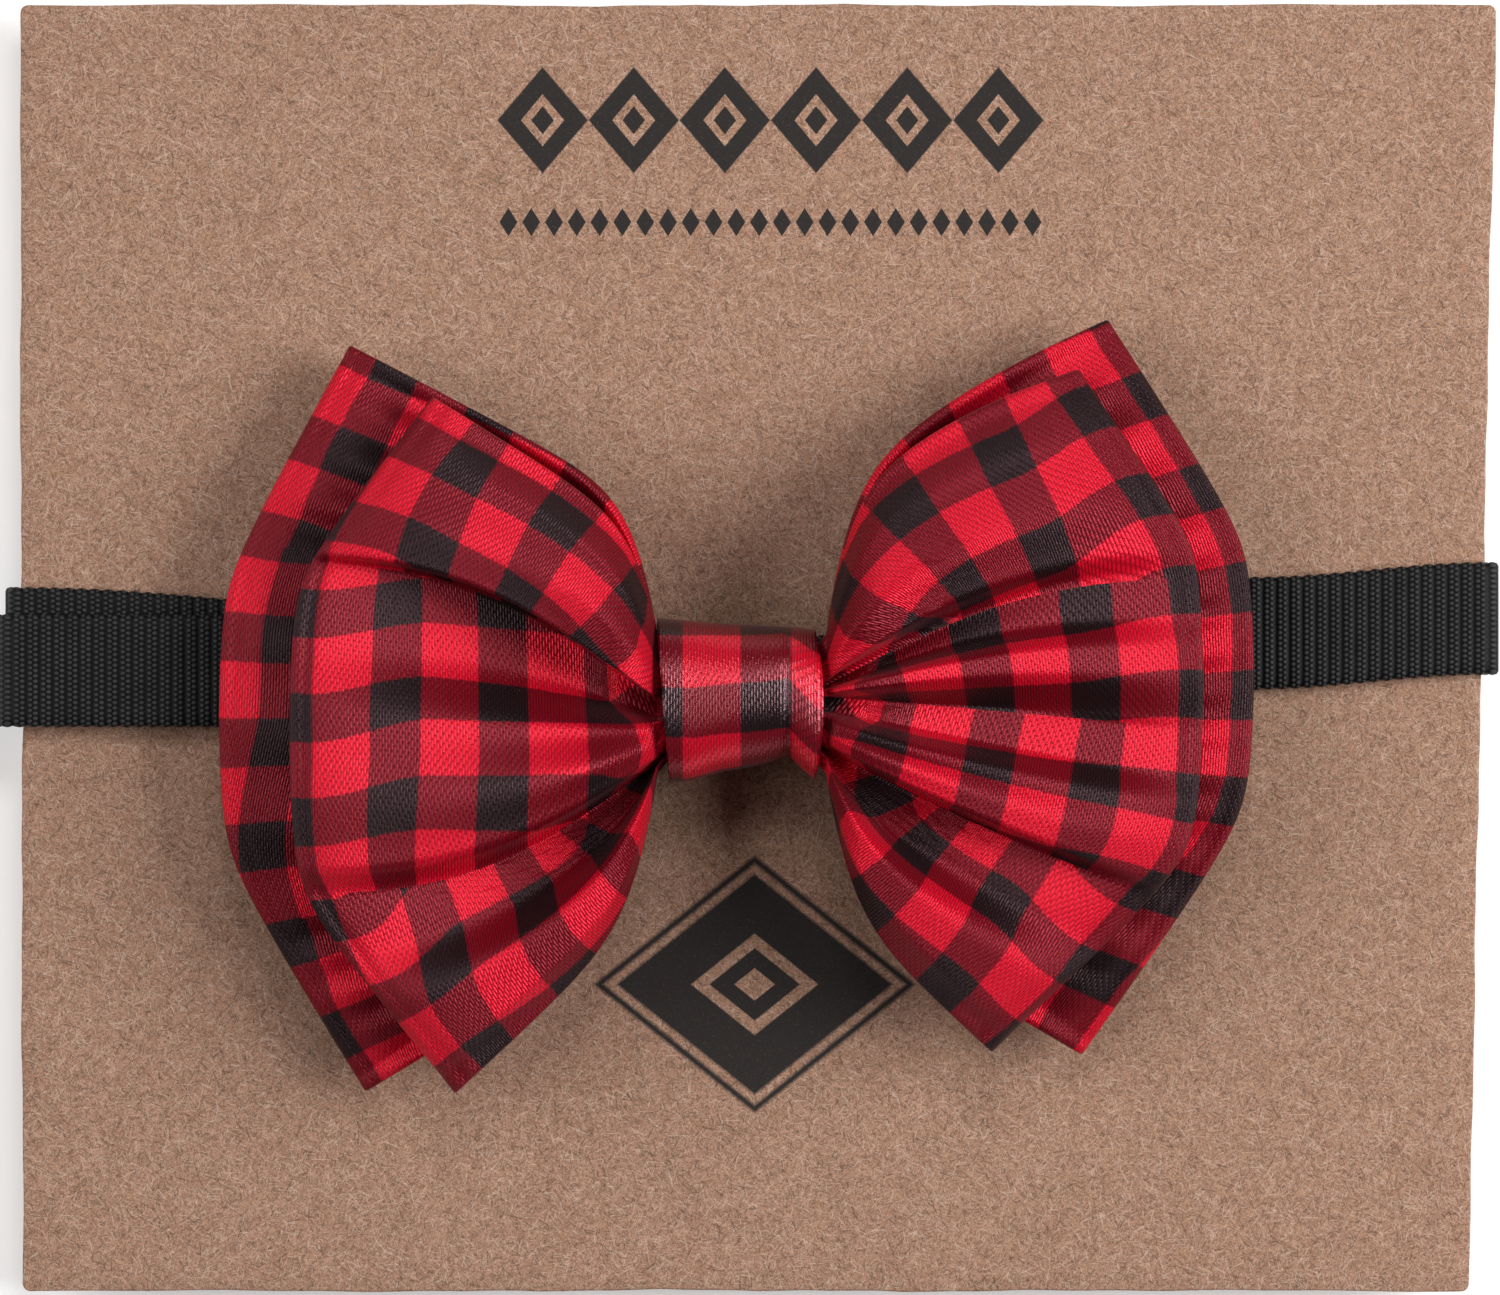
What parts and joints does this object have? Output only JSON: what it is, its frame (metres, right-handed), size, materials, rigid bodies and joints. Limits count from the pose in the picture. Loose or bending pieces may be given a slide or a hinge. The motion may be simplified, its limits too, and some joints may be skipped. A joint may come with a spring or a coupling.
{
  "type": "dog collar with bow tie on display card",
  "caption": "Small dog collar of narrow black webbing with a double gathered satin bow tie, fastened round a plain kraft display card.",
  "frame": {"origin": "middle of the whole part's outline seen from above, at the level of the clasp's back that it rests on", "axes": "+X towards the right-hand wing and the card's right edge, +Y towards the card's head, +Z out of the card's face"},
  "size_m": [0.1332, 0.1138, 0.0228],
  "materials": {
    "card_board": "matt kraft fibreboard with short light and dark fibres",
    "clasp_plastic": "moulded black plastic, fine matt grain",
    "webbing": "ribbed black nylon webbing",
    "back_satin": "red and black check polyester satin, soft sheen",
    "front_satin": "red and black check polyester satin, soft sheen",
    "knot_satin": "red and black check polyester satin, soft sheen"
  },
  "bodies": {
    "root": {"display_card": "card_board", "clasp": "clasp_plastic", "collar_strap": "webbing", "back_bow": "back_satin", "front_bow": "front_satin", "knot_band": "knot_satin"}
  },
  "joints": []
}
